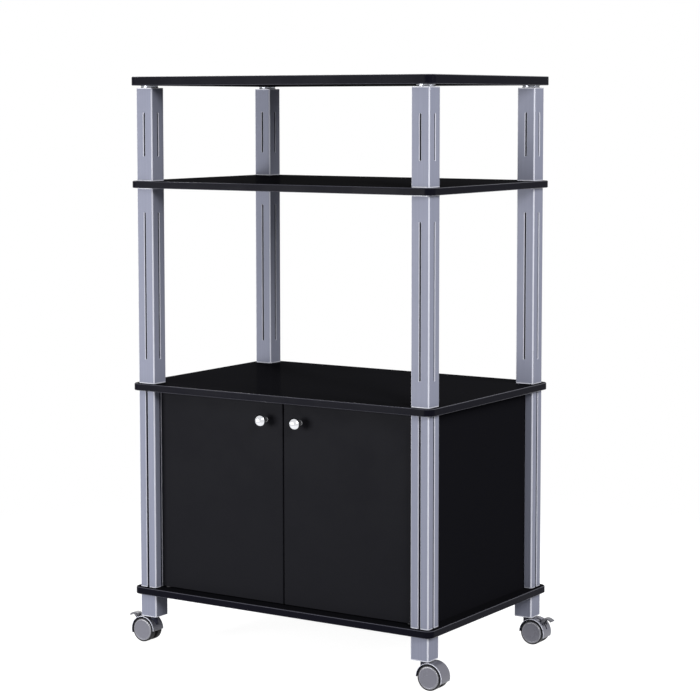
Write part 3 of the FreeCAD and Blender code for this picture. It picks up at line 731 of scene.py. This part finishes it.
def turned(name, rings):
    """Pulls a disc through (radius, height) rings along +Z, and closes it."""
    radius, height = rings[0]
    bpy.ops.object.select_all(action="DESELECT")
    bpy.ops.mesh.primitive_circle_add(
        vertices=TURN_STEPS, radius=radius, fill_type="NGON", location=(0, 0, height)
    )
    piece = bpy.context.object
    piece.name = name
    bpy.ops.object.transform_apply(location=True, rotation=True, scale=True)
    edit(piece)
    for next_radius, next_height in rings[1:]:
        bpy.ops.mesh.extrude_region_move(
            TRANSFORM_OT_translate={"value": (0, 0, next_height - height)}
        )
        if abs(next_radius - radius) > 1e-9:
            factor = next_radius / radius
            bpy.ops.transform.resize(
                value=(factor, factor, 1), center_override=(0, 0, next_height)
            )
        radius, height = next_radius, next_height
    bpy.ops.mesh.select_all(action="SELECT")
    bpy.ops.mesh.remove_doubles(threshold=0.001 * MM)
    bpy.ops.mesh.normals_make_consistent(inside=False)
    leave_edit()
    return piece


def arc_rings(centre_radius, centre_height, radius, start, finish, steps):
    """Rings along an arc of the profile. Angles in degrees, 90 points up the axis."""
    rings = []
    for step in range(steps + 1):
        angle = math.radians(start + (finish - start) * step / steps)
        rings.append(
            (centre_radius + radius * math.cos(angle), centre_height + radius * math.sin(angle))
        )
    return rings


def lay_over(piece, towards_front, place):
    """Turns a piece from +Z to face the front (-Y) or the back, then moves it into place."""
    bpy.ops.object.select_all(action="DESELECT")
    bpy.context.view_layer.objects.active = piece
    piece.select_set(True)
    piece.rotation_euler = (math.pi / 2 if towards_front else -math.pi / 2, 0, 0)
    piece.location = place
    bpy.ops.object.transform_apply(location=True, rotation=True, scale=True)


# %% [markdown]
# ### The knobs
#
# Each door has a small chromed knob shaped like a mushroom: a flange against the door, a waist that
# two fingers reach behind, and a domed head with a rolled rim. The rolled rim matters most, because
# it catches a dark and a bright ring side by side, which is what says chrome from a distance. The
# waist and the flange are plated but not buffed, so they stay a dull grey behind the head.

# %% Knobs
FOOT_RADIUS = 4.6 * MM
WAIST_RADIUS = 3.3 * MM
RIM_RADIUS = 2.0 * MM
CROWN_RADIUS = 12.0 * MM
WAIST_END = 0.56
FOOT_ROUNDING = 0.5 * MM
FOOT_THICKNESS = 1.5 * MM


def knob(side):
    low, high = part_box(side + "_knob")
    centre = (low + high) / 2
    head = (high.x - low.x) / 2
    length = high.y - low.y
    rings = [(FOOT_RADIUS, 0.0)]
    rings += arc_rings(
        FOOT_RADIUS - FOOT_ROUNDING, FOOT_THICKNESS - FOOT_ROUNDING, FOOT_ROUNDING, 0, 90, 3
    )
    rings += [(3.7 * MM, 2.2 * MM), (WAIST_RADIUS, 3.6 * MM), (WAIST_RADIUS, 0.45 * length)]
    rings += [(1.15 * WAIST_RADIUS, WAIST_END * length), (1.7 * WAIST_RADIUS, 0.62 * length)]
    crown_height = length - CROWN_RADIUS
    rim_place = head - RIM_RADIUS
    rim_height = crown_height + math.sqrt((CROWN_RADIUS - RIM_RADIUS) ** 2 - rim_place ** 2)
    meeting = math.degrees(math.atan2(rim_height - crown_height, rim_place))
    rings += arc_rings(rim_place, rim_height, RIM_RADIUS, -80, meeting, 10)
    rings += arc_rings(0.0, crown_height, CROWN_RADIUS, meeting + 5, 87, 8)
    piece = turned(side + "_knob_turned", rings)
    lay_over(piece, True, (centre.x, high.y, centre.z))
    finished(piece, math.radians(60))
    stand_for(piece, side + "_knob", chrome)
    second_finish(piece, dull_chrome, lambda face: high.y - face.center.y < WAIST_END * length)
    return piece


for side in ("left", "right"):
    piece = knob(side)
    print(piece.name, "has", len(piece.data.polygons), "faces")

# %% [markdown]
# ### The wheels
#
# A twin-wheel caster carries two hard wheels on one axle. Each is a silver disc, slightly dished
# inside a raised rim, pressed into a black tread that stands a little back from the disc's face. Its
# three materials are given by the place of each face: what lies inside the disc's radius on the outer
# side is silver, its rounded edge is a glossier silver painted a little lighter, partly a painted
# highlight for the bright crescent along it, and the rest is tread.

# %% Wheels
DISC_ROUNDING = 2.4 * MM
DISC_INSET = 1.6 * MM
TREAD_STEP = 0.8 * MM
TREAD_ROUNDING = 0.8 * MM
BORE_RADIUS = 2.6 * MM
BORE_FLOOR = 2.5 * MM
RIM_STEP = 0.6 * MM


def wheel(node):
    low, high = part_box(node)
    centre = (low + high) / 2
    radius = (high.z - low.z) / 2
    width = high.y - low.y
    faces_front = "front_wheel" in node
    disc = radius - DISC_INSET
    tread_face = width - TREAD_STEP
    shoulder = radius - TREAD_ROUNDING
    rings = [(BORE_RADIUS, width - BORE_FLOOR), (BORE_RADIUS, 0.0), (radius - 1.0 * MM, 0.0)]
    rings += arc_rings(shoulder, TREAD_ROUNDING, TREAD_ROUNDING, -80, 0, 4)
    rings += arc_rings(shoulder, tread_face - TREAD_ROUNDING, TREAD_ROUNDING, 0, 80, 4)
    rings += [(disc + 0.3 * MM, tread_face), (disc, width - DISC_ROUNDING)]
    rings += arc_rings(disc - DISC_ROUNDING, width - DISC_ROUNDING, DISC_ROUNDING, 8, 90, 7)
    rings += [(disc - DISC_ROUNDING - RIM_STEP, width - 0.12 * MM)]
    rings += [(disc - DISC_ROUNDING - 2 * RIM_STEP, width - 0.35 * MM)]
    rings += [(0.55 * disc, width - 0.40 * MM), (0.20 * disc, width - 0.38 * MM)]
    rings += [(0.08 * disc, width - 0.36 * MM)]
    piece = turned(node + "_turned", rings)
    silver = [
        face.index for face in piece.data.polygons
        if Vector(face.center[:2]).length < disc + 0.01 * MM and face.center.z > 0.5 * width
    ]
    rounded = [
        index for index in silver
        if Vector(piece.data.polygons[index].center[:2]).length > disc - DISC_ROUNDING
    ]
    base = high.y if faces_front else low.y
    lay_over(piece, faces_front, (centre.x, base, centre.z))
    finished(piece, math.radians(40))
    stand_for(piece, node, tread_black)
    # The rounded edge gets a lighter, glossier silver, partly a painted highlight.
    for material, chosen in ((disc_silver, silver), (disc_rim_highlight, rounded)):
        piece.data.materials.append(material)
        for index in chosen:
            piece.data.polygons[index].material_index = len(piece.data.materials) - 1
    return piece


for node in [name for name in nodes if name.endswith("_wheel")]:
    piece = wheel(node)
print("8 wheels of", len(piece.data.polygons), "faces each")

# %% [markdown]
# ### The necks under the top board
#
# Between each upper post and the top board sits a short plated neck. It is wider at its foot than at
# its waist, so that it catches one bright arc above the post's end. All four are turned once and
# copied, and they stay one piece, as in the frame.

# %% Necks
low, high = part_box("top_post_collars")
NECK_RADIUS = 15.0 * MM
SLEEVE_RADIUS = 10.0 * MM
NECK_BOTTOM = high.z - 4.0 * MM
FOOT_BEAD = 0.7 * MM
TOP_BEAD = 0.6 * MM
profile = [(SLEEVE_RADIUS, low.z), (SLEEVE_RADIUS, NECK_BOTTOM)]
profile += arc_rings(NECK_RADIUS - FOOT_BEAD, NECK_BOTTOM + FOOT_BEAD, FOOT_BEAD, -90, 60, 6)
profile += [(NECK_RADIUS - 1.1 * MM, NECK_BOTTOM + 3 * FOOT_BEAD)]
profile += arc_rings(NECK_RADIUS - TOP_BEAD, high.z - TOP_BEAD, TOP_BEAD, -60, 90, 6)
neck = turned("top_post_necks_turned", profile)
corner_x = high.x - NECK_RADIUS
corner_y = high.y - NECK_RADIUS
places = [(x, y) for x in (-corner_x, corner_x) for y in (-corner_y, corner_y)]
copies = []
for x, y in places:
    bpy.ops.object.select_all(action="DESELECT")
    bpy.context.view_layer.objects.active = neck
    neck.select_set(True)
    bpy.ops.object.duplicate(linked=False)
    copy = bpy.context.object
    copy.location = (x, y, 0)
    bpy.ops.object.transform_apply(location=True, rotation=True, scale=True)
    copies.append(copy)
bpy.data.objects.remove(neck)
bpy.ops.object.select_all(action="DESELECT")
for copy in copies:
    copy.select_set(True)
bpy.context.view_layer.objects.active = copies[0]
bpy.ops.object.join()
necks = bpy.context.object
necks.name = "top_post_necks_turned"
finished(necks, math.radians(50))
stand_for(necks, "top_post_collars", neck_silver)
print("4 necks at", [(round(x, 3), round(y, 3)) for x, y in places])
